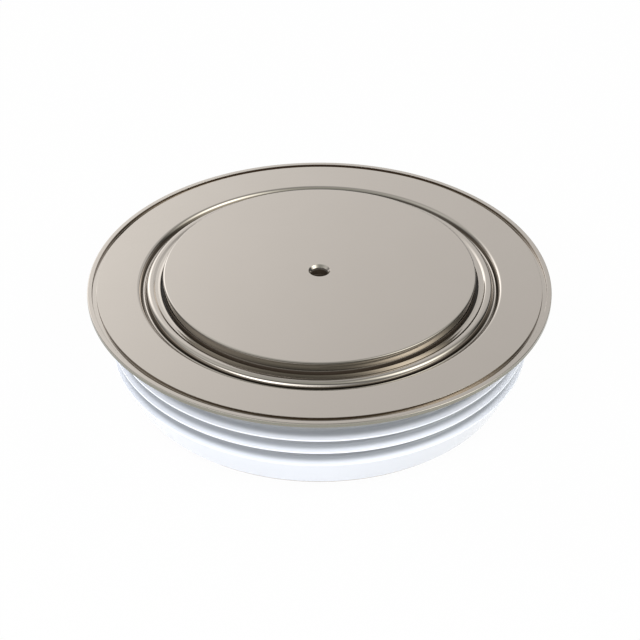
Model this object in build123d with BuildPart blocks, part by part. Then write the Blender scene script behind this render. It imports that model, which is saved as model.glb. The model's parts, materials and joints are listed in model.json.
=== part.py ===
from build123d import *
from math import radians, tan
import os

os.makedirs("parts", exist_ok=True)

# Contact faces. Every height is counted from the lower contact face, +Z up.
overall_height = 26.0
contact_diameter = 66.0
contact_edge_radius = 0.4

# Centring holes in both contact faces, for the dowels of the clamp
centring_hole_diameter = 3.6
centring_hole_depth = 2.2
centring_mouth_diameter = 4.6
countersink_angle = 90

# Lid sheet: seat on the pole, bead, groove, flat ring
rim_setback = 2.65
sheet_thickness = 0.5
joint_gap = 0.55
seat_width = 0.75
seat_rise = 0.2
bead_inner_run = 1.72
bead_rise = 0.27
bead_outer_run = 1.01
groove_drop = 1.55
groove_outer_run = 1.3
seat_bend_radius = 2.5
bead_bend_radius = 0.65
groove_bend_radius = 0.56
shoulder_bend_radius = 0.47
inner_edge_radius = 0.15
rim_edge_radius = 0.18

# Cold-weld groove, pressed from above through both sheets of the rim
lip_width = 1.0
weld_groove_width = 0.98
weld_groove_depth = 0.65
weld_groove_round = 0.1
weld_rib_wall = 0.15
weld_sheet_left = 0.2

# Weld flange under the lid's rim
flange_thickness = 0.5
flange_setback = 0.6
braze_thickness = 0.1

# Ceramic ring
bore_gap = 0.17
ceramic_wall = 5.9
rim_overhang = 4.6
collar_height = 3.9
rib_pitch = 3.05
rib_land = 0.35
valley_depth = 2.1
valley_draft = 10
valley_round = 1.0
valley_count = 3
glaze_radius = 0.13
foot_height = 2.55
foot_inset = 3.2
foot_edge_radius = 0.2
bore_chamfer = 0.3

# Lower flange between the ceramic's foot and the lower pole
lower_flange_thickness = 0.5
lower_sheet_fit = 0.05
lower_flange_inset = 0.6
lower_bead_rise = 0.6
lower_bead_top = 0.8
lower_bead_run = 0.6
lower_bead_margin = 0.55
lower_bend_radius = 0.4
braze_inset = 0.3

# Pole pieces inside the housing
lower_pole_height = 9.5
lower_shoulder_width = 2.2
lower_shoulder_thickness = 3.0
upper_shoulder_width = 1.8
upper_shoulder_thickness = 2.7
upper_body_step = 1.5
inner_edge_chamfer = 0.3

# Contact stack: the wafer's edge stands inside the pole's, the discs are set off from the wafer's
foil_thickness = 0.15
foil_inset = 0.5
carrier_margin = 1.0
carrier_thickness = 2.5
alloy_thickness = 0.05
wafer_setback = 2.5
wafer_thickness = 0.45
wafer_bevel_width = 0.6
contact_disc_inset = 2.5
contact_disc_thickness = 1.5

# Silicone bead round the wafer's edge
bead_overlap = 1.1
bead_lip = 1.0
bead_skirt = 0.85
bead_fit = 0.1
bead_round = 0.5

# Locating ring between the stack and the ceramic's bore
ring_bore_gap = 0.3
ring_pole_gap = 0.1
ring_carrier_gap = 0.15
ring_bead_gap = 0.5
ring_lift = 0.05
ring_lip_drop = 0.1
ring_top_rise = 0.2

# Radii, from the pole outwards
pole_radius = contact_diameter / 2
lid_inner_radius = pole_radius + joint_gap
bead_foot_radius = lid_inner_radius + seat_width
bead_radius = bead_foot_radius + bead_inner_run
groove_radius = bead_radius + bead_outer_run
annulus_radius = groove_radius + groove_outer_run
bore_radius = annulus_radius + bore_gap
crest_radius = bore_radius + ceramic_wall
rim_radius = crest_radius + rim_overhang
lip_radius = rim_radius - lip_width
weld_groove_radius = lip_radius - weld_groove_width / 2
weld_rib_width = weld_groove_width + 2 * weld_rib_wall
foot_radius = crest_radius - foot_inset
lower_flange_radius = foot_radius - lower_flange_inset
lower_sheet_inner_radius = pole_radius + lower_sheet_fit
flange_bore_radius = bore_radius + flange_setback
lower_shoulder_radius = pole_radius + lower_shoulder_width
upper_shoulder_radius = pole_radius + upper_shoulder_width
upper_body_radius = pole_radius - upper_body_step
wafer_radius = pole_radius - wafer_setback
contact_disc_radius = wafer_radius - contact_disc_inset
carrier_radius = wafer_radius + carrier_margin
lower_foil_radius = carrier_radius - foil_inset

# Heights of the lid and the housing, from the rim down
rim_top = overall_height - rim_setback
annulus_mid = rim_top - sheet_thickness / 2
seat_mid = annulus_mid + seat_rise
weld_rib_bottom = rim_top - weld_groove_depth - weld_sheet_left
flange_top = rim_top - sheet_thickness
flange_bottom = flange_top - flange_thickness
ceramic_top = flange_bottom - braze_thickness
upper_shoulder_top = seat_mid - sheet_thickness / 2 - braze_thickness
upper_shoulder_bottom = upper_shoulder_top - upper_shoulder_thickness
collar_bottom = ceramic_top - collar_height
taper_top = collar_bottom - valley_count * rib_pitch
valley_drift = valley_depth * tan(radians(valley_draft))
lower_flange_top = foot_height - braze_thickness
lower_flange_bottom = lower_flange_top - lower_flange_thickness
lower_shoulder_top = foot_height + lower_shoulder_thickness

# Heights of the contact stack, from the lower pole up
carrier_bottom = lower_pole_height + foil_thickness
carrier_top = carrier_bottom + carrier_thickness
wafer_bottom = carrier_top + alloy_thickness
wafer_top = wafer_bottom + wafer_thickness
contact_disc_top = wafer_top + contact_disc_thickness
stack_top = contact_disc_top + foil_thickness

# Upper pole piece: turned copper, stepped down to the contact stack
with BuildPart() as upper_pole_piece:
    with BuildSketch(Plane.XZ):
        with BuildLine():
            Polyline(
                (0, stack_top),
                (contact_disc_radius, stack_top),
                (upper_body_radius, stack_top + upper_body_radius - contact_disc_radius),
                (upper_body_radius, upper_shoulder_bottom),
                (upper_shoulder_radius, upper_shoulder_bottom),
                (upper_shoulder_radius, upper_shoulder_top),
                (pole_radius, upper_shoulder_top),
                (pole_radius, overall_height),
                (0, overall_height),
                close=True,
            )
        make_face()
    revolve(axis=Axis.Z)
    contact_edge = upper_pole_piece.edges().filter_by(GeomType.CIRCLE).sort_by(Axis.Z)[-1]
    fillet(contact_edge, contact_edge_radius)
    shoulder_edge = upper_pole_piece.edges().filter_by(GeomType.CIRCLE).sort_by(SortBy.RADIUS)[-2:]
    chamfer(shoulder_edge.sort_by(Axis.Z)[0], inner_edge_chamfer)
    with Locations((0, 0, overall_height)):
        CounterSinkHole(
            centring_hole_diameter / 2, centring_mouth_diameter / 2, centring_hole_depth, countersink_angle
        )

# Lower pole piece: its shoulder lies on the lower flange, its face stands below the foot
with BuildPart() as lower_pole_piece:
    with BuildSketch(Plane.XZ):
        with BuildLine():
            Polyline(
                (0, 0),
                (pole_radius, 0),
                (pole_radius, foot_height),
                (lower_shoulder_radius, foot_height),
                (lower_shoulder_radius, lower_shoulder_top),
                (pole_radius, lower_shoulder_top),
                (pole_radius, lower_pole_height),
                (0, lower_pole_height),
                close=True,
            )
        make_face()
    revolve(axis=Axis.Z)
    contact_edge = lower_pole_piece.edges().filter_by(GeomType.CIRCLE).sort_by(Axis.Z)[0]
    fillet(contact_edge, contact_edge_radius)
    inner_edge = lower_pole_piece.edges().filter_by(GeomType.CIRCLE).sort_by(Axis.Z)[-1]
    chamfer(inner_edge, inner_edge_chamfer)
    with Locations(Location((0, 0, 0), (180, 0, 0))):
        CounterSinkHole(
            centring_hole_diameter / 2, centring_mouth_diameter / 2, centring_hole_depth, countersink_angle
        )

# Lid: one pressed sheet. The bead and groove let the pole sink as the clamp presses it, and at the
# rim the weld groove has pushed a thin rib of it into the sheet below.
with BuildPart() as diaphragm:
    with BuildSketch(Plane.XZ):
        with BuildLine():
            FilletPolyline(
                (lid_inner_radius, seat_mid),
                (bead_foot_radius, seat_mid),
                (bead_radius, seat_mid + bead_rise),
                (groove_radius, annulus_mid - groove_drop),
                (annulus_radius, annulus_mid),
                (rim_radius, annulus_mid),
                radius=[seat_bend_radius, bead_bend_radius, groove_bend_radius, shoulder_bend_radius],
            )
        trace(line_width=sheet_thickness)
        with Locations((weld_groove_radius, weld_rib_bottom)):
            Rectangle(weld_rib_width, annulus_mid - weld_rib_bottom, align=(Align.CENTER, Align.MIN))
        with Locations((weld_groove_radius, rim_top)):
            RectangleRounded(weld_groove_width, 2 * weld_groove_depth, weld_groove_round, mode=Mode.SUBTRACT)
    revolve(axis=Axis.Z)
    walls = diaphragm.faces().filter_by(GeomType.CYLINDER).sort_by(SortBy.RADIUS)
    fillet(walls[0].edges().sort_by(Axis.Z)[-1], inner_edge_radius)
    rim_edges = diaphragm.edges().filter_by(GeomType.CIRCLE).sort_by(SortBy.RADIUS)[-2:]
    fillet(rim_edges.sort_by(Axis.Z)[-1], rim_edge_radius)

# Weld flange: flat ring under the lid's rim, with the channel that the lid's weld rib fills
with BuildPart() as weld_flange:
    with BuildSketch(Plane.XZ):
        with BuildLine():
            Polyline(
                (flange_bore_radius, flange_bottom),
                (rim_radius, flange_bottom),
                (rim_radius, flange_top),
                (flange_bore_radius, flange_top),
                close=True,
            )
        make_face()
        with Locations((weld_groove_radius, weld_rib_bottom)):
            Rectangle(weld_rib_width, sheet_thickness, align=(Align.CENTER, Align.MIN), mode=Mode.SUBTRACT)
    revolve(axis=Axis.Z)
    rim_edges = weld_flange.edges().filter_by(GeomType.CIRCLE).sort_by(SortBy.RADIUS)[-2:]
    fillet(rim_edges.sort_by(Axis.Z)[0], rim_edge_radius)

# Ceramic ring: plain collar, three round-floored valleys between ribs, then the tapered foot
with BuildPart() as ceramic_ring:
    with BuildSketch(Plane.XZ) as ceramic_section:
        with BuildLine():
            Polyline(
                (foot_radius, foot_height),
                (bore_radius, foot_height),
                (bore_radius, ceramic_top),
                (crest_radius, ceramic_top),
                (crest_radius, collar_bottom),
            )
            for valley in range(valley_count):
                valley_top = collar_bottom - valley * rib_pitch
                valley_bottom = valley_top - rib_pitch + rib_land
                FilletPolyline(
                    (crest_radius, valley_top),
                    (crest_radius - valley_depth, valley_top - valley_drift),
                    (crest_radius - valley_depth, valley_bottom + valley_drift),
                    (crest_radius, valley_bottom),
                    radius=valley_round,
                )
                Line((crest_radius, valley_bottom), (crest_radius, valley_bottom - rib_land))
            Line((crest_radius, taper_top), (foot_radius, foot_height))
        make_face()
        crests = ceramic_section.vertices().group_by(Axis.X)[-1]
        fillet(crests, glaze_radius)
        foot_corner = ceramic_section.vertices().group_by(Axis.Y)[0].sort_by(Axis.X)[-1]
        fillet(foot_corner, foot_edge_radius)
        bore_corners = ceramic_section.vertices().group_by(Axis.X)[0]
        chamfer(bore_corners, bore_chamfer)
    revolve(axis=Axis.Z)

# Lower flange: sheet ring with one bead that takes up the stretch between copper and ceramic
bead_start = lower_shoulder_radius + lower_bead_margin
bead_end = bead_start + 2 * lower_bead_run + lower_bead_top
lower_sheet_mid = lower_flange_top - lower_flange_thickness / 2
with BuildPart() as lower_flange:
    with BuildSketch(Plane.XZ):
        with BuildLine():
            FilletPolyline(
                (lower_sheet_inner_radius, lower_sheet_mid),
                (bead_start, lower_sheet_mid),
                (bead_start + lower_bead_run, lower_sheet_mid + lower_bead_rise),
                (bead_end - lower_bead_run, lower_sheet_mid + lower_bead_rise),
                (bead_end, lower_sheet_mid),
                (lower_flange_radius, lower_sheet_mid),
                radius=lower_bend_radius,
            )
        trace(line_width=lower_flange_thickness)
    revolve(axis=Axis.Z)

# Braze rings between sheets, ceramic and poles
with BuildPart() as upper_pole_braze:
    with BuildSketch(Plane.XY.offset(upper_shoulder_top)):
        Circle(bead_foot_radius)
        Circle(lid_inner_radius, mode=Mode.SUBTRACT)
    extrude(amount=braze_thickness)

with BuildPart() as upper_ceramic_braze:
    with BuildSketch(Plane.XY.offset(ceramic_top)):
        Circle(crest_radius - braze_inset)
        Circle(flange_bore_radius, mode=Mode.SUBTRACT)
    extrude(amount=braze_thickness)

with BuildPart() as lower_ceramic_braze:
    with BuildSketch(Plane.XY.offset(lower_flange_top)):
        Circle(lower_flange_radius - braze_inset)
        Circle(bore_radius + bore_chamfer, mode=Mode.SUBTRACT)
    extrude(amount=braze_thickness)

with BuildPart() as lower_pole_braze:
    with BuildSketch(Plane.XY.offset(lower_flange_top)):
        Circle(lower_shoulder_radius)
        Circle(lower_sheet_inner_radius, mode=Mode.SUBTRACT)
    extrude(amount=braze_thickness)

# Contact stack, from the lower pole up
with BuildPart() as lower_silver_foil:
    with BuildSketch(Plane.XY.offset(lower_pole_height)):
        Circle(lower_foil_radius)
    extrude(amount=foil_thickness)

with BuildPart() as carrier_disc:
    with BuildSketch(Plane.XY.offset(carrier_bottom)):
        Circle(carrier_radius)
    extrude(amount=carrier_thickness)

with BuildPart() as alloy_layer:
    with BuildSketch(Plane.XY.offset(carrier_top)):
        Circle(wafer_radius)
    extrude(amount=alloy_thickness)

with BuildPart() as silicon_wafer:
    with BuildSketch(Plane.XZ):
        with BuildLine():
            Polyline(
                (0, wafer_bottom),
                (wafer_radius, wafer_bottom),
                (wafer_radius - wafer_bevel_width, wafer_top),
                (0, wafer_top),
                close=True,
            )
        make_face()
    revolve(axis=Axis.Z)

with BuildPart() as contact_disc:
    with BuildSketch(Plane.XY.offset(wafer_top)):
        Circle(contact_disc_radius)
    extrude(amount=contact_disc_thickness)

with BuildPart() as upper_silver_foil:
    with BuildSketch(Plane.XY.offset(contact_disc_top)):
        Circle(contact_disc_radius)
    extrude(amount=foil_thickness)

# Silicone bead: covers the wafer's bevel, grips the carrier's edge, centres the contact disc
passivation_radius = carrier_radius + bead_overlap
passivation_top = wafer_top + bead_lip
passivation_bottom = carrier_top - bead_skirt
with BuildPart() as passivation_ring:
    with BuildSketch(Plane.XZ) as bead_section:
        with BuildLine():
            Polyline(
                (contact_disc_radius + bead_fit, wafer_top),
                (wafer_radius - wafer_bevel_width, wafer_top),
                (wafer_radius, wafer_bottom),
                (wafer_radius, carrier_top),
                (carrier_radius, carrier_top),
                (carrier_radius, passivation_bottom),
                (passivation_radius, passivation_bottom),
                (passivation_radius, passivation_top),
                (contact_disc_radius + bead_fit, passivation_top),
                close=True,
            )
        make_face()
        top_corners = bead_section.vertices().group_by(Axis.Y)[-1]
        fillet(top_corners, bead_round)
    revolve(axis=Axis.Z)

# Locating ring: stands on the lower shoulder and centres the carrier in the ceramic's bore
ring_outer_radius = bore_radius - ring_bore_gap
ring_pole_radius = pole_radius + ring_pole_gap
ring_lip_radius = carrier_radius + ring_carrier_gap
ring_bead_radius = passivation_radius + ring_bead_gap
ring_lip_bottom = lower_pole_height + ring_lift
ring_lip_top = passivation_bottom - ring_lip_drop
with BuildPart() as locating_ring:
    with BuildSketch(Plane.XZ):
        with BuildLine():
            Polyline(
                (ring_pole_radius, lower_shoulder_top),
                (ring_outer_radius, lower_shoulder_top),
                (ring_outer_radius, passivation_top + ring_top_rise),
                (ring_bead_radius, passivation_top + ring_top_rise),
                (ring_bead_radius, ring_lip_top),
                (ring_lip_radius, ring_lip_top),
                (ring_lip_radius, ring_lip_bottom),
                (ring_pole_radius, ring_lip_bottom),
                close=True,
            )
        make_face()
    revolve(axis=Axis.Z)

upper_pole_piece.part.label = "upper_pole_piece"
lower_pole_piece.part.label = "lower_pole_piece"
diaphragm.part.label = "diaphragm"
weld_flange.part.label = "weld_flange"
ceramic_ring.part.label = "ceramic_ring"
lower_flange.part.label = "lower_flange"
upper_pole_braze.part.label = "upper_pole_braze"
upper_ceramic_braze.part.label = "upper_ceramic_braze"
lower_ceramic_braze.part.label = "lower_ceramic_braze"
lower_pole_braze.part.label = "lower_pole_braze"
lower_silver_foil.part.label = "lower_silver_foil"
carrier_disc.part.label = "carrier_disc"
alloy_layer.part.label = "alloy_layer"
silicon_wafer.part.label = "silicon_wafer"
contact_disc.part.label = "contact_disc"
upper_silver_foil.part.label = "upper_silver_foil"
passivation_ring.part.label = "passivation_ring"
locating_ring.part.label = "locating_ring"

export_step(upper_pole_piece.part, "parts/upper_pole_piece.step")
export_step(lower_pole_piece.part, "parts/lower_pole_piece.step")
export_step(diaphragm.part, "parts/diaphragm.step")
export_step(weld_flange.part, "parts/weld_flange.step")
export_step(ceramic_ring.part, "parts/ceramic_ring.step")
export_step(lower_flange.part, "parts/lower_flange.step")
export_step(upper_pole_braze.part, "parts/upper_pole_braze.step")
export_step(upper_ceramic_braze.part, "parts/upper_ceramic_braze.step")
export_step(lower_ceramic_braze.part, "parts/lower_ceramic_braze.step")
export_step(lower_pole_braze.part, "parts/lower_pole_braze.step")
export_step(lower_silver_foil.part, "parts/lower_silver_foil.step")
export_step(carrier_disc.part, "parts/carrier_disc.step")
export_step(alloy_layer.part, "parts/alloy_layer.step")
export_step(silicon_wafer.part, "parts/silicon_wafer.step")
export_step(contact_disc.part, "parts/contact_disc.step")
export_step(upper_silver_foil.part, "parts/upper_silver_foil.step")
export_step(passivation_ring.part, "parts/passivation_ring.step")
export_step(locating_ring.part, "parts/locating_ring.step")
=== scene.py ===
import json
import math

import bpy
import numpy as np
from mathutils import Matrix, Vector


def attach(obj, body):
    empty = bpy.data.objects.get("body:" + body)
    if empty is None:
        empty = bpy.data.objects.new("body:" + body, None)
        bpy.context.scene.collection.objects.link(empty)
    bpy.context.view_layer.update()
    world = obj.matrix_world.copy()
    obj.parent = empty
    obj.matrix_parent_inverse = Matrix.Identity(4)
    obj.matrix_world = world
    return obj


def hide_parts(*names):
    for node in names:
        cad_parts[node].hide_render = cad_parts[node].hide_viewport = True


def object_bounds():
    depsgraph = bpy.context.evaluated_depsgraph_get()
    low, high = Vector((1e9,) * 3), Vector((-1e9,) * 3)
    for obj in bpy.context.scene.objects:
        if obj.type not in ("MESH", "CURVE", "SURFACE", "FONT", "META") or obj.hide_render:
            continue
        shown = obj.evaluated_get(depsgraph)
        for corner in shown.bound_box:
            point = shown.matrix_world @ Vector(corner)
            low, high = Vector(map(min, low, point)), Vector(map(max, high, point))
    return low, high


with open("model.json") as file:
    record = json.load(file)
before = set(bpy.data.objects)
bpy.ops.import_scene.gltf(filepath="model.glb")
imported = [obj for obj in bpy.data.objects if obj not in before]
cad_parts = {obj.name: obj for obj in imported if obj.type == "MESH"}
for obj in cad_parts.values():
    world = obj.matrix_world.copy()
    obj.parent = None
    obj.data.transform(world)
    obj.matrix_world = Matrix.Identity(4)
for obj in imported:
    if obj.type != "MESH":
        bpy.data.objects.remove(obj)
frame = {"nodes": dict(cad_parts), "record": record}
cadBox = [list(corner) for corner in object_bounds()]
print("frame loaded:", len(frame["nodes"]), "nodes")

mm = 0.001
turnSteps = 384             # steps of every turned surface round the axis


# Profiles are arrays of (radius, height) in millimetres

# A straight run from a towards b, without b. It has points close to both ends, so that smooth
# shading stays flat between them, and the others lie evenly at most one stride apart.
def straightRun(a, b, stride=1.6, margin=0.03):
    length = np.linalg.norm(b - a)
    if length < 4 * margin:
        return a[None, :]
    steps = int(np.ceil((length - 2 * margin) / stride))
    place = np.concatenate([[0], np.linspace(margin, length - margin, steps + 1)])
    return a + np.outer(place / length, b - a)


# An arc from start to stop round a centre. Its point at share s is the centre plus the two spokes
# u and v weighted by sin((1 - s) t) / sin t and sin(s t) / sin t, where t is the angle between them.
def arcRun(start, stop, centre, steps):
    u, v = start - centre, stop - centre
    angle = math.acos(np.clip(u @ v / (np.linalg.norm(u) * np.linalg.norm(v)), -1, 1))
    share = np.linspace(0, 1, steps + 1)[:, None]
    return centre + (np.sin((1 - share) * angle) * u + np.sin(share * angle) * v) / math.sin(angle)


# An outline whose corners are rounded by arcs that touch both sides: with t = radius tan(turn / 2)
# the arc leaves one side t before the corner and joins the next side t after it.
def roundedOutline(corners, closed=True, arcSteps=7):
    points = np.array([corner[:2] for corner in corners], float)
    radii = [corner[2] if len(corner) > 2 else 0 for corner in corners]
    count = len(points)
    starts, stops, centres = points.copy(), points.copy(), points.copy()
    for i in range(count):
        if not radii[i]:
            continue
        into = points[i] - points[i - 1]
        away = points[(i + 1) % count] - points[i]
        into, away = into / np.linalg.norm(into), away / np.linalg.norm(away)
        turn = math.acos(np.clip(into @ away, -1, 1))
        reach = radii[i] * math.tan(turn / 2)
        bisector = (away - into) / np.linalg.norm(away - into)
        starts[i], stops[i] = points[i] - reach * into, points[i] + reach * away
        centres[i] = points[i] + bisector * radii[i] / math.cos(turn / 2)
    runs = []
    for i in range(count):
        if radii[i]:
            runs.append(arcRun(starts[i], stops[i], centres[i], arcSteps)[:-1])
        if i < count - 1 or closed:
            runs.append(straightRun(stops[i], starts[(i + 1) % count]))
        else:
            runs.append(stops[i][None, :])
    return np.concatenate(runs)


# One face of a bent sheet: each corner of the sheet's middle line moves out by the distance over
# the cosine of half its turn, and its bend radius grows or shrinks by the distance.
def sheetFace(middle, distance):
    points = np.array([corner[:2] for corner in middle], float)
    along = np.diff(points, axis=0)
    along /= np.linalg.norm(along, axis=1)[:, None]
    normals = np.stack([-along[:, 1], along[:, 0]], axis=1)
    first, last = points[0] + distance * normals[0], points[-1] + distance * normals[-1]
    face = [tuple(first)]
    for i in range(1, len(points) - 1):
        miter = normals[i - 1] + normals[i]
        miter /= 1 + normals[i - 1] @ normals[i]
        bendsUp = np.cross(along[i - 1], along[i]) > 0
        radius = middle[i][2] + (-distance if bendsUp else distance)
        face.append((*(points[i] + distance * miter), radius))
    return face + [tuple(last)]


# A turned surface: the point (r cos a, r sin a, z) for every profile point (r, z) and angle a.
# A closed profile makes a ring, and an open one is closed on the axis by a fan at each end.
def turnedPiece(name, profile, closed, material, slotName, *replaced):
    angle = np.arange(turnSteps) * 2 * np.pi / turnSteps
    rows = len(profile)
    radius, height = profile[:, 0] * mm, profile[:, 1] * mm
    grid = np.stack([
        np.outer(radius, np.cos(angle)),
        np.outer(radius, np.sin(angle)),
        np.outer(height, np.ones(turnSteps)),
    ], axis=-1).reshape(-1, 3)
    row = np.arange(rows if closed else rows - 1)[:, None]
    step = np.arange(turnSteps)[None, :]
    nextRow, nextStep = (row + 1) % rows, (step + 1) % turnSteps
    corners = [row * turnSteps + step, nextRow * turnSteps + step,
               nextRow * turnSteps + nextStep, row * turnSteps + nextStep]
    quads = np.stack([np.broadcast_to(c, (len(row), turnSteps)) for c in corners], axis=-1).reshape(-1, 4)
    diagonal = grid[quads[:, 2]] - grid[quads[:, 0]]
    other = grid[quads[:, 3]] - grid[quads[:, 1]]
    flow = np.sum(np.cross(diagonal, other) * grid[quads].mean(axis=1) * [1, 1, 0])
    faces = quads.tolist()
    if not closed:
        ends = np.array([[0, 0, height[0]], [0, 0, height[-1]]])
        firstCentre, lastCentre = len(grid), len(grid) + 1
        grid = np.concatenate([grid, ends])
        ring, ringNext = step[0], nextStep[0]
        lastRing = (rows - 1) * turnSteps
        faces += np.stack([np.full(turnSteps, firstCentre), ring, ringNext], axis=1).tolist()
        lastFan = [np.full(turnSteps, lastCentre), lastRing + ringNext, lastRing + ring]
        faces += np.stack(lastFan, axis=1).tolist()
    if flow < 0:                                    # turned so that every face points outwards
        faces = [face[::-1] for face in faces]
    mesh = bpy.data.meshes.new(name)
    mesh.from_pydata(grid.tolist(), [], faces)
    mesh.polygons.foreach_set("use_smooth", np.ones(len(faces), bool))
    mesh.materials.append(material)
    mesh.update()
    piece = bpy.data.objects.new(name, mesh)
    bpy.context.scene.collection.objects.link(piece)
    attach(piece, "root")
    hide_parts(*replaced)
    print("made", name, "with", len(faces), "faces")


# Node shorthands

def addNode(tree, kind, **values):
    node = tree.nodes.new(kind)
    for key, value in values.items():
        setattr(node, key, value)
    return node


def plug(tree, value, socket):
    if isinstance(value, bpy.types.NodeSocket):
        tree.links.new(value, socket)
    else:
        socket.default_value = value


def maths(tree, operation, *values):
    node = addNode(tree, "ShaderNodeMath", operation=operation)
    for i, value in enumerate(values):
        plug(tree, value, node.inputs[i])
    return node.outputs[0]


def remap(tree, value, fromLow, fromHigh, toLow, toHigh, smooth=False):
    node = addNode(tree, "ShaderNodeMapRange", interpolation_type="SMOOTHSTEP" if smooth else "LINEAR")
    for name, given in zip(("Value", "From Min", "From Max", "To Min", "To Max"),
                           (value, fromLow, fromHigh, toLow, toHigh)):
        plug(tree, given, node.inputs[name])
    return node.outputs[0]


def mixColours(tree, share, first, second, blend="MIX"):
    node = addNode(tree, "ShaderNodeMix", data_type="RGBA", blend_type=blend)
    plug(tree, share, node.inputs["Factor"])
    plug(tree, first, node.inputs["A"])
    plug(tree, second, node.inputs["B"])
    return node.outputs["Result"]


def stretched(tree, vector, factors):
    node = addNode(tree, "ShaderNodeVectorMath", operation="MULTIPLY")
    tree.links.new(vector, node.inputs[0])
    node.inputs[1].default_value = factors
    return node.outputs[0]


def split(tree, vector):
    node = addNode(tree, "ShaderNodeSeparateXYZ")
    tree.links.new(vector, node.inputs[0])
    return node.outputs


def noise(tree, coordinates, scale, detail):
    node = addNode(tree, "ShaderNodeTexNoise")
    node.inputs["Scale"].default_value = scale
    node.inputs["Detail"].default_value = detail
    tree.links.new(coordinates, node.inputs["Vector"])
    return node.outputs["Fac"]


def startMaterial(name):
    material = bpy.data.materials.new(name)
    material.use_nodes = True
    tree = material.node_tree
    shader = tree.nodes["Principled BSDF"]
    coordinates = addNode(tree, "ShaderNodeTexCoord").outputs["Object"]
    return material, tree, shader, coordinates


# Distance from the axis: the length of the object coordinates without their height
def axisDistance(tree, coordinates):
    length = addNode(tree, "ShaderNodeVectorMath", operation="LENGTH")
    tree.links.new(stretched(tree, coordinates, (1, 1, 0)), length.inputs[0])
    return length.outputs["Value"]


def heightBump(tree, shader, height, distance):
    bump = addNode(tree, "ShaderNodeBump")
    bump.inputs["Strength"].default_value = 1.0
    bump.inputs["Distance"].default_value = distance
    tree.links.new(height, bump.inputs["Height"])
    tree.links.new(bump.outputs[0], shader.inputs["Normal"])


cloudLow, cloudHigh = 0.3, 0.7      # the values of a noise mostly lie between these


# Roughness that drifts with the clouds, by the spread to either side of its middle
def cloudedRoughness(tree, clouds, middle, spread):
    return remap(tree, clouds, cloudLow, cloudHigh, middle - spread, middle + spread)


# Nickel plate: warm grey metal, very fine lines from the lathe under the plating, faint clouds in
# its gloss.
nickelFinish = {
    "colour": (0.550, 0.505, 0.457, 1),
    "cloudColour": (0.536, 0.492, 0.443, 1),
    "roughness": 0.09,
    "roughnessSpread": 0.02,
    "cloudScale": 90,
    "grainScale": 2600,
    "linePitch": 0.00018,           # metres, like every bump height
    "lineShare": 0.3,
    "bumpHeight": 0.0000012,
    "levelNormal": 0.82,            # the normal's height on metal that counts as level
    "steepNormal": 0.62,            # and on metal that counts as steep
}


# Share of a turned band between its two radii: 0 at its clean height, rising to 1 at its dark
# height and past it. A band that is steepOnly leaves level metal as it is.
def bandShare(tree, coordinates, finish, band):
    radius = axisDistance(tree, coordinates)
    share = maths(tree, "MULTIPLY", maths(tree, "GREATER_THAN", radius, band["inner"] * mm),
                  maths(tree, "LESS_THAN", radius, band["outer"] * mm))
    height = split(tree, coordinates)["Z"]
    past = remap(tree, height, band["clean"] * mm, band["dark"] * mm, 0, 1, smooth=True)
    share = maths(tree, "MULTIPLY", share, past)
    if band["steepOnly"]:
        normal = addNode(tree, "ShaderNodeTexCoord").outputs["Normal"]
        facing = maths(tree, "ABSOLUTE", split(tree, normal)["Z"])
        steep = remap(tree, facing, finish["levelNormal"], finish["steepNormal"], 0, 1, smooth=True)
        share = maths(tree, "MULTIPLY", share, steep)
    return share


# The plate, then each band over it: a value becomes value + share (band's value - value)
def nickelPlate(name, finish, bands, lines=True):
    material, tree, shader, coordinates = startMaterial(name)
    clouds = noise(tree, coordinates, finish["cloudScale"], detail=4)
    colour = mixColours(tree, clouds, finish["colour"], finish["cloudColour"])
    roughness = cloudedRoughness(tree, clouds, finish["roughness"], finish["roughnessSpread"])
    metallic = 1.0
    for band in bands:
        share = bandShare(tree, coordinates, finish, band)
        colour = mixColours(tree, share, colour, band["colour"])
        roughness = remap(tree, share, 0, 1, roughness, band["roughness"])
        metallic = remap(tree, share, 0, 1, metallic, band["metallic"])
    plug(tree, colour, shader.inputs["Base Color"])
    plug(tree, roughness, shader.inputs["Roughness"])
    plug(tree, metallic, shader.inputs["Metallic"])
    height = noise(tree, coordinates, finish["grainScale"], detail=2)
    if lines:
        turnedLines = maths(tree, "SINE", maths(tree, "MULTIPLY", axisDistance(tree, coordinates),
                                                2 * math.pi / finish["linePitch"]))
        height = maths(tree, "ADD", height, maths(tree, "MULTIPLY", turnedLines, finish["lineShare"]))
    heightBump(tree, shader, height, finish["bumpHeight"])
    return material


# Glazed alumina: cool white, glossy, with the soft unevenness of a fired glaze. Radii and heights
# are in millimetres.
ceramicFinish = {
    "colour": (0.838, 0.868, 0.940, 1),
    "cloudColour": (0.828, 0.860, 0.935, 1),
    # painted shade in the valleys and at the collar's lower edge: its colour, the radii where it is full and
    # where it ends, and its heights
    "paintedShadeColour": (0.285, 0.30, 0.325, 1),
    "fullShadeRadius": 42.6,
    "shadeClearRadius": 44.1,
    "shadeBottom": 9.3,
    "shadeTop": 18.95,
    "collarShadeEdge": 18.2,
    "roughness": 0.16,
    "roughnessSpread": 0.02,
    "coat": 0.4,
    "coatRoughness": 0.08,
    "cloudScale": 160,
    "dimpleScale": 700,
    "bumpHeight": 0.000004,
}
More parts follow.
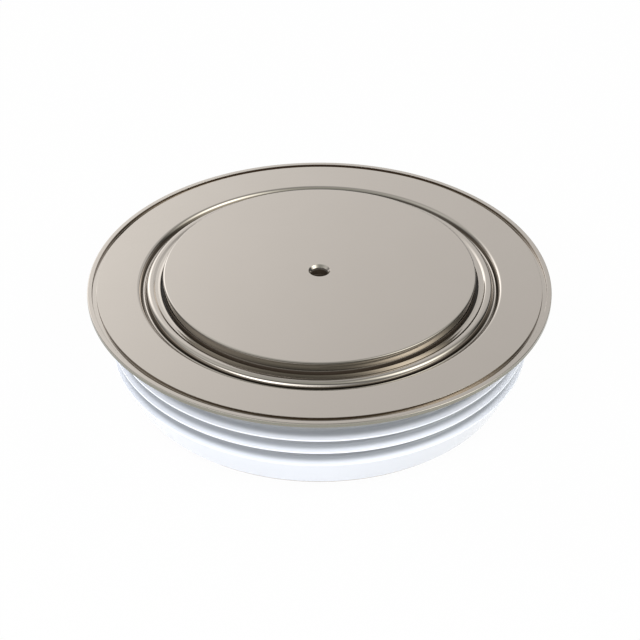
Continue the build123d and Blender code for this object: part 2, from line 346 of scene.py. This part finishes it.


# Painted shade darkens the glaze in the valleys and along the collar's lower edge: its share in the valleys
# falls from 1 to 0 between two radii
def glazedCeramic(name, finish):
    material, tree, shader, coordinates = startMaterial(name)
    clouds = noise(tree, coordinates, finish["cloudScale"], detail=3)
    paintedShade = remap(tree, axisDistance(tree, coordinates),
                   finish["shadeClearRadius"] * mm, finish["fullShadeRadius"] * mm, 0, 1, smooth=True)
    height = split(tree, coordinates)["Z"]
    paintedShade = maths(tree, "MAXIMUM", paintedShade, maths(tree, "GREATER_THAN", height, finish["collarShadeEdge"] * mm))
    for kind, bound in (("GREATER_THAN", "shadeBottom"), ("LESS_THAN", "shadeTop")):
        paintedShade = maths(tree, "MULTIPLY", paintedShade, maths(tree, kind, height, finish[bound] * mm))
    glaze = mixColours(tree, clouds, finish["colour"], finish["cloudColour"])
    plug(tree, mixColours(tree, paintedShade, glaze, finish["paintedShadeColour"]), shader.inputs["Base Color"])
    roughness = cloudedRoughness(tree, clouds, finish["roughness"], finish["roughnessSpread"])
    plug(tree, roughness, shader.inputs["Roughness"])
    plug(tree, finish["coat"], shader.inputs["Coat Weight"])
    plug(tree, finish["coatRoughness"], shader.inputs["Coat Roughness"])
    dimples = noise(tree, coordinates, finish["dimpleScale"], detail=2)
    heightBump(tree, shader, dimples, finish["bumpHeight"])
    return material


# Plain finishes of the sealed pieces: a colour with faint clouds and a fine grain
innerClouds = {
    "scale": 120,
    "shade": 0.88,
    "roughnessSpread": 0.04,
}


def innerFinish(name, colour, metallic, roughness, grainScale, bumpHeight=0.000003):
    material, tree, shader, coordinates = startMaterial(name)
    clouds = noise(tree, coordinates, innerClouds["scale"], detail=4)
    darker = tuple(innerClouds["shade"] * c for c in colour)
    plug(tree, mixColours(tree, clouds, (*colour, 1), (*darker, 1)), shader.inputs["Base Color"])
    clouded = cloudedRoughness(tree, clouds, roughness, innerClouds["roughnessSpread"])
    plug(tree, clouded, shader.inputs["Roughness"])
    plug(tree, metallic, shader.inputs["Metallic"])
    heightBump(tree, shader, noise(tree, coordinates, grainScale, detail=3), bumpHeight)
    return material


# Painted shade on the plate, in bands: near black in the gap round the braze joint of each pole, on the walls
# of the bead's groove and on those of the weld groove, in the centring hole, under the pole's rounded edge
# and on its wall, and on the bare trimmed edge of the rim, which painted shade darkens further. The radii and
# heights of the bands are in millimetres.
# painted shade: near black in the gap round each pole's braze joint
gapShade = {"colour": (0.042, 0.031, 0.022, 1), "roughness": 0.5, "metallic": 0.0}
# painted shade on the steep walls of the bead's groove
grooveShade = {"colour": (0.10, 0.085, 0.068, 1), "roughness": 0.15, "metallic": 1.0}
# painted shade on the steep walls of the weld groove
weldGrooveShade = {"colour": (0.26, 0.215, 0.17, 1), "roughness": 0.15, "metallic": 1.0}
# painted shade under the pole's rounded edge
edgeShade = {"colour": (0.20, 0.18, 0.155, 1), "roughness": 0.15, "metallic": 1.0}
# painted shade inside the centring hole
holeShade = {"colour": (0.06, 0.045, 0.032, 1), "roughness": 0.4, "metallic": 0.3}
# painted shade darkening the pole's wall
wallShade = {"colour": (0.40, 0.365, 0.325, 1), "roughness": 0.12, "metallic": 1.0}
# the bare trimmed edge of the rim, darkened further by painted shade
trimmedEdgeAndShade = {"colour": (0.31, 0.30, 0.255, 1), "roughness": 0.22, "metallic": 1.0}
poleBands = [
    {"inner": 32.6, "outer": 33.1, "clean": 25.91, "dark": 25.86, "steepOnly": False, **edgeShade},
    {"inner": 32.6, "outer": 33.1, "clean": 25.72, "dark": 25.62, "steepOnly": False, **wallShade},
    {"inner": 32.8, "outer": 36.0, "clean": 24.15, "dark": 23.85, "steepOnly": False, **gapShade},
    {"inner": 0.0, "outer": 1.9, "clean": 25.6, "dark": 24.9, "steepOnly": False, **holeShade},
]
lowerPoleBands = [
    {"inner": 32.8, "outer": 36.0, "clean": 1.6, "dark": 1.95, "steepOnly": False, **gapShade},
    {"inner": 0.0, "outer": 1.9, "clean": 0.4, "dark": 1.1, "steepOnly": False, **holeShade},
]
sheetBands = [
    {"inner": 36.0, "outer": 37.1, "clean": 22.9, "dark": 22.6, "steepOnly": True, **grooveShade},
    {"inner": 37.1, "outer": 38.3, "clean": 23.05, "dark": 22.8, "steepOnly": True, **grooveShade},
    {"inner": 46.8, "outer": 48.1, "clean": 23.33, "dark": 23.22, "steepOnly": True, **weldGrooveShade},
    {"inner": 48.93, "outer": 49.1, "clean": 23.25, "dark": 23.15, "steepOnly": True, **trimmedEdgeAndShade},
]
nickel = nickelPlate("nickelPlate", nickelFinish, poleBands)
lowerNickel = nickelPlate("lowerNickel", nickelFinish, lowerPoleBands)
sheetNickel = nickelPlate("sheetNickel", nickelFinish, sheetBands, lines=False)
ceramic = glazedCeramic("glazedCeramic", ceramicFinish)
innerMaterials = {
    "silver_braze": innerFinish("silverBraze", (0.72, 0.70, 0.62), 1, 0.35, 1500),
    "silver": innerFinish("softSilver", (0.86, 0.85, 0.81), 1, 0.22, 1200),
    "molybdenum": innerFinish("lappedMolybdenum", (0.30, 0.30, 0.32), 1, 0.32, 2400),
    "aluminium_alloy": innerFinish("aluminiumLayer", (0.70, 0.70, 0.71), 1, 0.40, 1800),
    "silicon": innerFinish("silicon", (0.045, 0.048, 0.060), 0, 0.12, 2000, 0.000001),
    "silicone_rubber": innerFinish("siliconeRubber", (0.62, 0.62, 0.60), 0, 0.50, 900),
    "white_polymer": innerFinish("whitePolymer", (0.74, 0.74, 0.71), 0, 0.45, 1100),
}
for part in frame["record"]["subparts"]:
    if part["material_slot"] in innerMaterials:
        node = frame["nodes"][part["node"]]
        node.data.materials.clear()
        node.data.materials.append(innerMaterials[part["material_slot"]])
print("materials made")


# Contact face, the same on both poles: flat, with a rounded edge and a countersunk centring hole
contactFace = {
    "faceRadius": 33.0,
    "edge": 0.4,
    "holeRadius": 1.8,
    "holeDepth": 2.2,
    "holeFloorEdge": 0.15,
    "mouthRadius": 2.3,
    "fanRadius": 0.4,               # where the fans on the axis begin
    "fineEdge": 0.04,
}


# From the hole's floor along its wall and over the face to the edge. Inwards is 1 or -1, the way
# from the face into the pole, and the countersink is as deep as it is wide.
def contactFaceCorners(p, face, inwards):
    countersink = p["mouthRadius"] - p["holeRadius"]
    return [
        (p["fanRadius"], face + inwards * p["holeDepth"]),
        (p["holeRadius"], face + inwards * p["holeDepth"], p["holeFloorEdge"]),
        (p["holeRadius"], face + inwards * countersink, p["fineEdge"]),
        (p["mouthRadius"], face, p["fineEdge"]),
        (p["faceRadius"], face, p["edge"]),
    ]


# Upper pole: its face on top, a wall down to the hidden shoulder, then the inner body
upperPole = {
    **contactFace,
    "top": cadBox[1][2] / mm,
    "shoulderRadius": 34.8,
    "shoulderTop": 22.95,
    "shoulderBottom": 20.25,
    "shoulderChamfer": 0.3,
    "bodyRadius": 31.5,
    "innerFaceRadius": 28.0,
    "innerFace": 14.3,
}


# The face, then down the wall, round the shoulder and the body and back to the axis. The body's
# taper is as high as it is wide.
def upperPoleProfile(p):
    fine = p["fineEdge"]
    taper = p["bodyRadius"] - p["innerFaceRadius"]
    return roundedOutline(contactFaceCorners(p, p["top"], -1) + [
        (p["faceRadius"], p["shoulderTop"], fine),
        (p["shoulderRadius"], p["shoulderTop"], fine),
        (p["shoulderRadius"], p["shoulderBottom"] + p["shoulderChamfer"], fine),
        (p["shoulderRadius"] - p["shoulderChamfer"], p["shoulderBottom"], fine),
        (p["bodyRadius"], p["shoulderBottom"], fine),
        (p["bodyRadius"], p["innerFace"] + taper, fine),
        (p["innerFaceRadius"], p["innerFace"], fine),
        (p["fanRadius"], p["innerFace"]),
    ], closed=False)


turnedPiece("contact_face_upper", upperPoleProfile(upperPole), False, nickel,
            "nickel_plate", "upper_pole_piece")

# Lower pole: its face at the bottom, its shoulder on the lower flange
lowerPole = {
    **contactFace,
    "bottom": 0,
    "footHeight": 2.55,
    "shoulderRadius": 35.2,
    "shoulderTop": 5.55,
    "innerFace": 9.5,
    "innerChamfer": 0.3,
}


# The face, then up the wall, round the shoulder and the chamfered inner face and back to the axis
def lowerPoleProfile(p):
    fine = p["fineEdge"]
    return roundedOutline(contactFaceCorners(p, p["bottom"], 1) + [
        (p["faceRadius"], p["footHeight"], fine),
        (p["shoulderRadius"], p["footHeight"], fine),
        (p["shoulderRadius"], p["shoulderTop"], fine),
        (p["faceRadius"], p["shoulderTop"], fine),
        (p["faceRadius"], p["innerFace"] - p["innerChamfer"], fine),
        (p["faceRadius"] - p["innerChamfer"], p["innerFace"], fine),
        (p["fanRadius"], p["innerFace"]),
    ], closed=False)


turnedPiece("contact_face_lower", lowerPoleProfile(lowerPole), False, lowerNickel,
            "nickel_plate", "lower_pole_piece")

# Lid: one pressed sheet, given by the middle line of its seat, bead, groove and flat ring, then the
# weld groove and the lip that the trimming tool raised at the rim
lid = {
    "thickness": 0.5,
    "middle": [(33.55, 23.3), (34.78, 23.3, 0.4), (35.18, 23.5, 0.4), (36.12, 23.52, 0.6),
               (37.03, 21.55, 0.56), (38.33, 23.1, 0.47), (49.0, 23.1)],
    "innerRise": 0.06,
    "innerSlopeEnd": 34.1,
    "innerSlopeRound": 1.5,
    "innerEdge": 0.15,
    "rimRadius": 49.0,
    "lipWidth": 1.0,
    "grooveWidth": 0.98,
    "grooveDepth": 0.65,
    "grooveRound": 0.1,
    "grooveEdge": 0.06,
    "weldThickness": 0.2,
    "ribWall": 0.15,
    "rimEdge": 0.18,
    "seamEdge": 0.02,
    "fineEdge": 0.04,
}


# The sheet's upper face outwards, the rim with the weld groove above and its rib below, then the
# lower face back. The rib is wider than the groove by one wall on either side.
def lidProfile(p):
    upper = sheetFace(p["middle"], p["thickness"] / 2)
    lower = sheetFace(p["middle"], -p["thickness"] / 2)[::-1]
    innerRadius, seat = upper[0]
    flat = upper[-1][1]
    outer = p["rimRadius"] - p["lipWidth"]
    inner = outer - p["grooveWidth"]
    floor, under = flat - p["grooveDepth"], flat - p["grooveDepth"] - p["weldThickness"]
    innerLip = [
        (innerRadius, seat + p["innerRise"], p["innerEdge"]),
        (p["innerSlopeEnd"], seat, p["innerSlopeRound"]),
    ]
    rim = [
        (inner, flat, p["grooveEdge"]),
        (inner, floor, p["grooveRound"]),
        (outer, floor, p["grooveRound"]),
        (outer, flat, p["grooveEdge"]),
        (p["rimRadius"], flat, p["rimEdge"]),
        (*lower[0], p["seamEdge"]),
        (outer + p["ribWall"], flat - p["thickness"]),
        (outer + p["ribWall"], under),
        (inner - p["ribWall"], under),
        (inner - p["ribWall"], flat - p["thickness"]),
    ]
    innerUnderside = [(*lower[-1], p["fineEdge"])]
    return roundedOutline(innerLip + upper[1:-1] + rim + lower[1:-1] + innerUnderside)


turnedPiece("lid_sheet", lidProfile(lid), True, sheetNickel, "nickel_plate", "diaphragm")

# Weld flange: flat ring under the lid, as wide as it, with the channel that the lid's weld rib has
# pressed into it
weldFlange = {
    "innerRadius": 39.1,
    "thickness": 0.5,
    "rimEdge": 0.18,
    "seamEdge": 0.02,
    "fineEdge": 0.04,
}


# A flat ring's outline. Its top is the lid's underside, and its square channel is as wide and as
# deep as the lid's rib.
def weldFlangeProfile(p, above):
    fine, rim = p["fineEdge"], above["rimRadius"]
    flat = above["middle"][-1][1] + above["thickness"] / 2
    top = flat - above["thickness"]
    bottom = top - p["thickness"]
    floor = flat - above["grooveDepth"] - above["weldThickness"]
    channelOuter = rim - above["lipWidth"] + above["ribWall"]
    channelInner = channelOuter - above["grooveWidth"] - 2 * above["ribWall"]
    return roundedOutline([
        (p["innerRadius"], top, fine),
        (channelInner, top),
        (channelInner, floor),
        (channelOuter, floor),
        (channelOuter, top),
        (rim, top, p["seamEdge"]),
        (rim, bottom, p["rimEdge"]),
        (p["innerRadius"], bottom, fine),
    ])


turnedPiece("weld_ring", weldFlangeProfile(weldFlange, lid), True, sheetNickel,
            "nickel_plate", "weld_flange")

# Ceramic ring: plain collar, round valleys between narrow ribs, then the tapered foot
ceramicRing = {
    "boreRadius": 38.5,
    "crestRadius": 44.4,
    "top": 22.25,
    "collarBottom": 18.35,
    "ribPitch": 3.05,
    "ribLand": 0.35,
    "valleys": 3,
    "valleyDepth": 2.1,
    "valleyDraft": 10.0,
    "valleyRound": 1.0,
    "glaze": 0.13,
    "footRadius": 41.2,
    "footHeight": 2.55,
    "footEdge": 0.2,
    "boreChamfer": 0.3,
    "fineEdge": 0.04,
}


# Each valley between two ribs has walls that close in by the draft, tan(draft) times its depth on
# either side, and a floor as round as its width allows.
def ceramicProfile(p):
    crest, fine, depth = p["crestRadius"], p["fineEdge"], p["valleyDepth"]
    drift = depth * math.tan(math.radians(p["valleyDraft"]))
    ribs = []
    for valley in range(p["valleys"]):
        upper = p["collarBottom"] - valley * p["ribPitch"]
        lower = upper - p["ribPitch"] + p["ribLand"]
        ribs += [
            (crest, upper, p["glaze"]),
            (crest - depth, upper - drift, p["valleyRound"]),
            (crest - depth, lower + drift, p["valleyRound"]),
            (crest, lower, p["glaze"]),
        ]
    return roundedOutline(ribs + [
        (crest, p["collarBottom"] - p["valleys"] * p["ribPitch"], p["glaze"]),
        (p["footRadius"], p["footHeight"], p["footEdge"]),
        (p["boreRadius"] + p["boreChamfer"], p["footHeight"], fine),
        (p["boreRadius"], p["footHeight"] + p["boreChamfer"], fine),
        (p["boreRadius"], p["top"] - p["boreChamfer"], fine),
        (p["boreRadius"] + p["boreChamfer"], p["top"], fine),
        (crest, p["top"], p["glaze"]),
    ], arcSteps=9)


turnedPiece("ribbed_ceramic", ceramicProfile(ceramicRing), True, ceramic, "white_ceramic", "ceramic_ring")

# Lower flange: sheet ring with one flat-topped bead, given by its middle line
lowerFlange = {
    "thickness": 0.5,
    "middle": [(33.05, 2.2), (35.75, 2.2, 0.4), (36.35, 2.8, 0.4), (37.15, 2.8, 0.4),
               (37.75, 2.2, 0.4), (40.6, 2.2)],
    "fineEdge": 0.05,
}


# The sheet's upper face outwards and its lower face back, with all four of its edges rounded
def lowerFlangeProfile(p):
    fine = p["fineEdge"]
    upper = sheetFace(p["middle"], p["thickness"] / 2)
    lower = sheetFace(p["middle"], -p["thickness"] / 2)[::-1]
    upper = [(*upper[0], fine)] + upper[1:-1] + [(*upper[-1], fine)]
    lower = [(*lower[0], fine)] + lower[1:-1] + [(*lower[-1], fine)]
    return roundedOutline(upper + lower)


turnedPiece("foot_flange", lowerFlangeProfile(lowerFlange), True, sheetNickel, "nickel_plate", "lower_flange")


# Floor: pale, plain, white to the camera and in reflections, with a little of the real shadow kept
floorSettings = {
    "halfWidth": 6.0,
    "colour": (0.64, 0.64, 0.64, 1),
    "shadowShare": 0.025,
    "white": 1.0,
}


# A flat square, painted for the light that falls on it and shining white towards the camera, metal
# and glass, but for the share in which its shadow shows
def makeFloor(p):
    reach = p["halfWidth"]
    mesh = bpy.data.meshes.new("floor")
    corners = [(-reach, -reach, 0), (reach, -reach, 0), (reach, reach, 0), (-reach, reach, 0)]
    mesh.from_pydata(corners, [], [(0, 1, 2, 3)])
    material = bpy.data.materials.new("paleFloor")
    material.use_nodes = True
    tree = material.node_tree
    tree.nodes.clear()
    paint = addNode(tree, "ShaderNodeBsdfDiffuse")
    paint.inputs["Color"].default_value = p["colour"]
    white = addNode(tree, "ShaderNodeEmission")
    white.inputs["Strength"].default_value = p["white"]
    rays = addNode(tree, "ShaderNodeLightPath").outputs
    seen = maths(tree, "MAXIMUM", rays["Is Camera Ray"], rays["Is Glossy Ray"])
    seen = maths(tree, "MAXIMUM", seen, rays["Is Transmission Ray"])
    mix = addNode(tree, "ShaderNodeMixShader")
    tree.links.new(maths(tree, "MULTIPLY", seen, 1 - p["shadowShare"]), mix.inputs[0])
    tree.links.new(paint.outputs[0], mix.inputs[1])
    tree.links.new(white.outputs[0], mix.inputs[2])
    output = addNode(tree, "ShaderNodeOutputMaterial")
    tree.links.new(mix.outputs[0], output.inputs[0])
    mesh.materials.append(material)
    floor = bpy.data.objects.new("floor", mesh)
    bpy.context.scene.collection.objects.link(floor)


makeFloor(floorSettings)


# Studio: a pale surrounding whose brightness depends on direction. Behind the object it is bright
# from the middle heights up and dim just above the floor, in front it is greyer and falls off to
# the right. Two soft lights glow at the back left, one high on the left, one in a low wide band at
# the front left, and a strong, slightly yellow one on the right.
studio = {
    "backHeights": [(0.0, 0.04), (0.15, 0.05), (0.26, 0.70), (0.38, 1.05), (0.52, 1.04), (0.61, 0.93),
                    (0.80, 0.66), (1.0, 0.56)],
    "frontHeights": [(0.0, 0.03), (0.30, 0.04), (0.42, 0.10), (0.55, 0.33), (0.75, 0.48), (1.0, 0.56)],
    "backColour": (1.0, 1.0, 1.0, 1),
    "frontColour": (0.96, 1.0, 0.94, 1),
    "rightStart": 0.2,
    "rightEnd": 0.9,
    "rightShare": 0.42,
    "turnFront": 0.5,
    "turnBack": 0.86,
    "level": 0.775,
    "glows": {
        "backLeft": {"towards": (-0.366, 0.821, 0.438), "spread": 0.19, "level": 1.39},
        "backLeftLow": {"towards": (-0.56, 0.80, 0.20), "spread": 0.17, "level": 1.5},
        "leftHigh": {"towards": (-0.78, 0.05, 0.62), "spread": 0.40, "level": 0.6},
        "frontLeftBand": {"towards": (-0.55, -0.80, 0.17), "spread": 0.45, "level": 4.0, "flatness": 6.2},
        "rightHigh": {"towards": (0.735, -0.27, 0.62), "spread": 0.28, "level": 3.8,
                      "colour": (0.98, 0.98, 0.92, 1)},
    },
}


def tinted(tree, colour, level):
    return mixColours(tree, 1.0, colour, level, "MULTIPLY")


# Brightness by height: straight from each (height, brightness) stop to the next. The ramp holds
# shares of the brightest stop, and what comes out is multiplied by it again.
def heightRamp(tree, height, stops):
    ramp = addNode(tree, "ShaderNodeValToRGB")
    elements = ramp.color_ramp.elements
    while len(elements) < len(stops):
        elements.new(0.5)
    brightest = max(level for place, level in stops)
    for element, (place, level) in zip(elements, stops):
        element.position = place
        element.color = (*(3 * (level / brightest,)), 1)
    tree.links.new(height, ramp.inputs[0])
    return maths(tree, "MULTIPLY", ramp.outputs[0], brightest)


# A soft glow: its level times exp(-distance squared / (2 spread squared)) from its direction. The
# flatness counts heights that many times, so a glow whose flatness is above 1 is wider than high.
def glow(tree, direction, towards, spread, level, flatness=1.0, colour=(1, 1, 1, 1)):
    stretch = np.array([1, 1, flatness])
    apart = addNode(tree, "ShaderNodeVectorMath", operation="DISTANCE")
    tree.links.new(stretched(tree, direction, stretch), apart.inputs[0])
    apart.inputs[1].default_value = stretch * np.array(towards) / np.linalg.norm(towards)
    squared = maths(tree, "POWER", apart.outputs["Value"], 2.0)
    fading = maths(tree, "EXPONENT", maths(tree, "DIVIDE", squared, -2 * spread ** 2))
    return tinted(tree, colour, maths(tree, "MULTIPLY", fading, level))


# The surrounding turns from front to back, and dims rightwards in front, by the direction's shares
# of Y and X in the level plane: each over the square root of 1 - height squared.
def makeStudio(p):
    world = bpy.data.worlds.new("studio")
    world.use_nodes = True
    tree = world.node_tree
    tree.nodes.clear()
    normalised = addNode(tree, "ShaderNodeVectorMath", operation="NORMALIZE")
    tree.links.new(addNode(tree, "ShaderNodeTexCoord").outputs["Generated"], normalised.inputs[0])
    direction = normalised.outputs[0]
    parts = split(tree, direction)
    height = parts["Z"]
    across = maths(tree, "SQRT", maths(tree, "SUBTRACT", 1.0, maths(tree, "POWER", height, 2.0)))
    across = maths(tree, "MAXIMUM", across, 0.001)          # straight up, never a division by 0
    rightward, backward = [maths(tree, "DIVIDE", parts[axis], across) for axis in "XY"]
    dimmed = remap(tree, rightward, p["rightStart"], p["rightEnd"], 1, p["rightShare"], smooth=True)
    behind = remap(tree, backward, p["turnFront"], p["turnBack"], 0, 1, smooth=True)
    back = tinted(tree, p["backColour"], heightRamp(tree, height, p["backHeights"]))
    front = tinted(tree, p["frontColour"], heightRamp(tree, height, p["frontHeights"]))
    around = mixColours(tree, behind, tinted(tree, front, dimmed), back)
    for settings in p["glows"].values():
        around = mixColours(tree, 1.0, around, glow(tree, direction, **settings), "ADD")
    background = addNode(tree, "ShaderNodeBackground")
    tree.links.new(around, background.inputs["Color"])
    background.inputs["Strength"].default_value = p["level"]
    output = addNode(tree, "ShaderNodeOutputWorld")
    tree.links.new(background.outputs[0], output.inputs[0])
    bpy.context.scene.world = world


makeStudio(studio)


# Soft lamps that light the ceramic and the floor from the front and the sides, kept out of the
# metal's mirror. Each looks at the middle of the lower contact face.
lamps = {
    "frontLeft": {"place": (-0.53, -0.75, 0.69), "size": 0.40, "power": 6.4},
    "frontRight": {"place": (0.47, -0.76, 0.72), "size": 0.40, "power": 4.3},
    "lowLeft": {"place": (-1.08, 0.29, 0.28), "size": 0.40, "power": 5.0},
    "lowRight": {"place": (1.08, 0.09, 0.39), "size": 0.40, "power": 1.6},
}


def makeLamps(settings):
    for name, p in settings.items():
        light = bpy.data.lights.new(name, "AREA")
        light.size = p["size"]
        light.energy = p["power"]
        lamp = bpy.data.objects.new(name, light)
        lamp.location = p["place"]
        lamp.rotation_mode = "QUATERNION"
        lamp.rotation_quaternion = (-lamp.location).to_track_quat("-Z", "Y")
        lamp.visible_glossy = False
        lamp.visible_camera = False
        bpy.context.scene.collection.objects.link(lamp)


makeLamps(lamps)

# Camera: where the photograph was taken from
view = {
    "place": (0, -0.3482, 0.2591),
    "pitchDown": 35.232,
    "yaw": -0.02,
    "focalPixels": 1985,
    "imagePixels": 640,
    "sensor": 36.0,
    "nearest": 0.01,
    "furthest": 20,
}


# The lens is the sensor's width times the focal length over the image's width, both in pixels
def makeCamera(p):
    data = bpy.data.cameras.new("camera")
    data.sensor_width = p["sensor"]
    data.lens = p["sensor"] * p["focalPixels"] / p["imagePixels"]
    data.clip_start, data.clip_end = p["nearest"], p["furthest"]
    camera = bpy.data.objects.new("camera", data)
    camera.location = p["place"]
    camera.rotation_euler = (math.radians(90 - p["pitchDown"]), 0, math.radians(p["yaw"]))
    bpy.context.scene.collection.objects.link(camera)
    bpy.context.scene.camera = camera


makeCamera(view)
bpy.context.scene.view_settings.view_transform = "Standard"
print("floor, studio, lamps and camera made")
